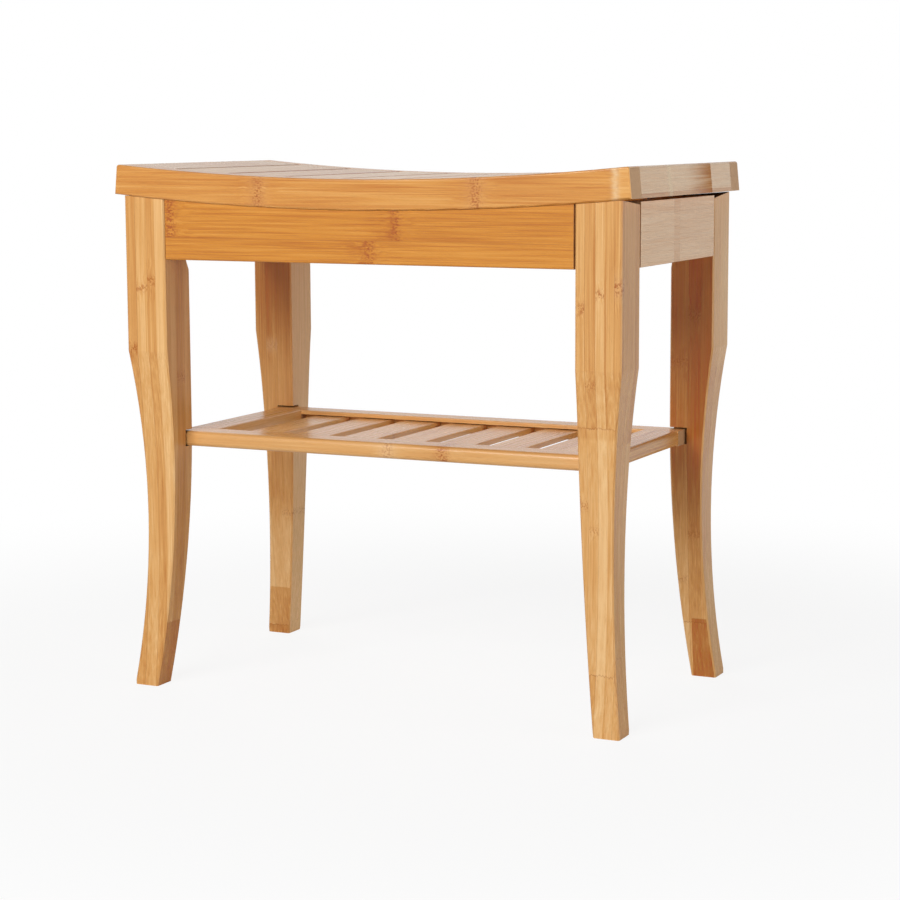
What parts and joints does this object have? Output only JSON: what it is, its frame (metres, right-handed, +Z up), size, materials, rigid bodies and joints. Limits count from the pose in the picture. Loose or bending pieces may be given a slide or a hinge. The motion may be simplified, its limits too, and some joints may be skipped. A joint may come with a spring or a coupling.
{
  "type": "shower bench",
  "caption": "Bamboo shower bench: a dished slatted seat on curved tapering legs, an apron frame with bolted corner braces, and a slatted shelf held in the legs.",
  "frame": {"origin": "on the floor under the middle of the seat", "axes": "+X along the seat to the right, -Y to the front, +Z up"},
  "size_m": [0.4688, 0.257, 0.4498],
  "materials": {
    "bamboo_frame": "clear satin lacquer",
    "bamboo_brace": "thin clear lacquer",
    "bamboo_seat": "clear satin lacquer",
    "bamboo_shelf": "clear satin lacquer",
    "zinc_steel": "zinc plated"
  },
  "bodies": {
    "root": {"leg_front_left": "bamboo_frame", "leg_front_right": "bamboo_frame", "leg_back_right": "bamboo_frame", "leg_back_left": "bamboo_frame", "apron_front": "bamboo_frame", "apron_back": "bamboo_frame", "apron_left": "bamboo_frame", "apron_right": "bamboo_frame", "corner_brace_front_left": "bamboo_brace", "corner_brace_front_right": "bamboo_brace", "corner_brace_back_right": "bamboo_brace", "corner_brace_back_left": "bamboo_brace", "seat_tenons": "bamboo_brace", "seat_rail_front": "bamboo_seat", "seat_rail_back": "bamboo_seat", "seat_end_rail_left": "bamboo_seat", "seat_end_rail_right": "bamboo_seat", "seat_slat_1": "bamboo_seat", "seat_slat_2": "bamboo_seat", "seat_slat_3": "bamboo_seat", "seat_slat_4": "bamboo_seat", "seat_slat_5": "bamboo_seat", "seat_slat_6": "bamboo_seat", "seat_slat_7": "bamboo_seat", "shelf_rail_front": "bamboo_shelf", "shelf_rail_back": "bamboo_shelf", "shelf_end_rail_left": "bamboo_shelf", "shelf_end_rail_right": "bamboo_shelf", "shelf_slat_1": "bamboo_shelf", "shelf_slat_2": "bamboo_shelf", "shelf_slat_3": "bamboo_shelf", "shelf_slat_4": "bamboo_shelf", "shelf_slat_5": "bamboo_shelf", "shelf_slat_6": "bamboo_shelf", "shelf_slat_7": "bamboo_shelf", "hanger_bolts": "zinc_steel", "bolt_washers": "zinc_steel", "bolt_nuts": "zinc_steel"}
  },
  "joints": []
}
